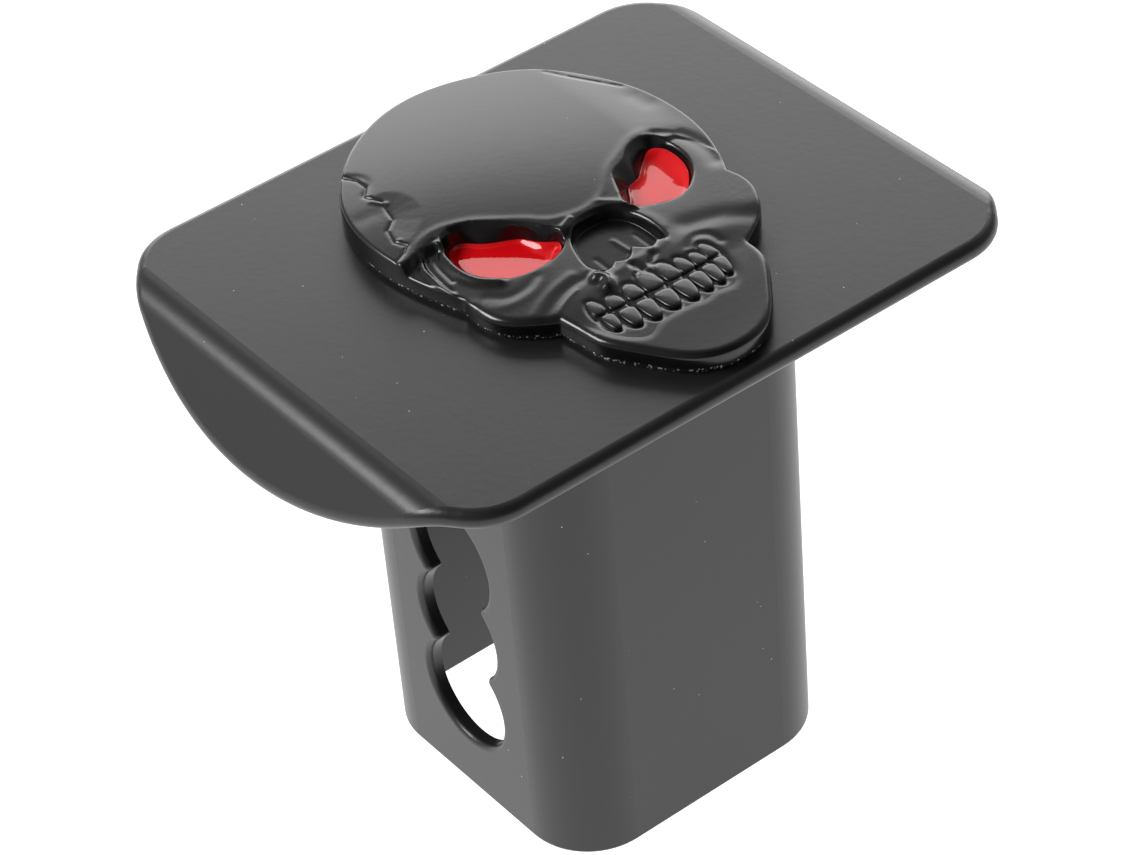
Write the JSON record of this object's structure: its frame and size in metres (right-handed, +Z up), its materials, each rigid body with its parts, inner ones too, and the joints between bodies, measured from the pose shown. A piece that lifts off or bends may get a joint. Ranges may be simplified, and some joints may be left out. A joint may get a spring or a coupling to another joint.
{
  "type": "hitch receiver cover",
  "caption": "Black hitch receiver cover: folded plate with a skull badge and red eyes on a square tube slotted for the hitch pin.",
  "frame": {"origin": "middle of the tube's open end, under the middle of the plate", "axes": "+Z up the tube from its open end to the plate, +X along the plate between its two folded ends, +Y towards the top of the skull"},
  "size_m": [0.1116, 0.081, 0.0953],
  "materials": {
    "black_coat": "satin black powder coat",
    "badge_black": "gloss black, worn to satin on the forehead",
    "eye_red": "mirror gloss red",
    "foam_tape": "matt foam with a rough cut edge"
  },
  "bodies": {
    "root": {"shank_tube": "black_coat", "weld_bead": "black_coat", "face_plate": "black_coat", "adhesive_pad": "foam_tape", "skull_emblem": "badge_black", "left_eye": "eye_red", "right_eye": "eye_red"}
  },
  "joints": []
}
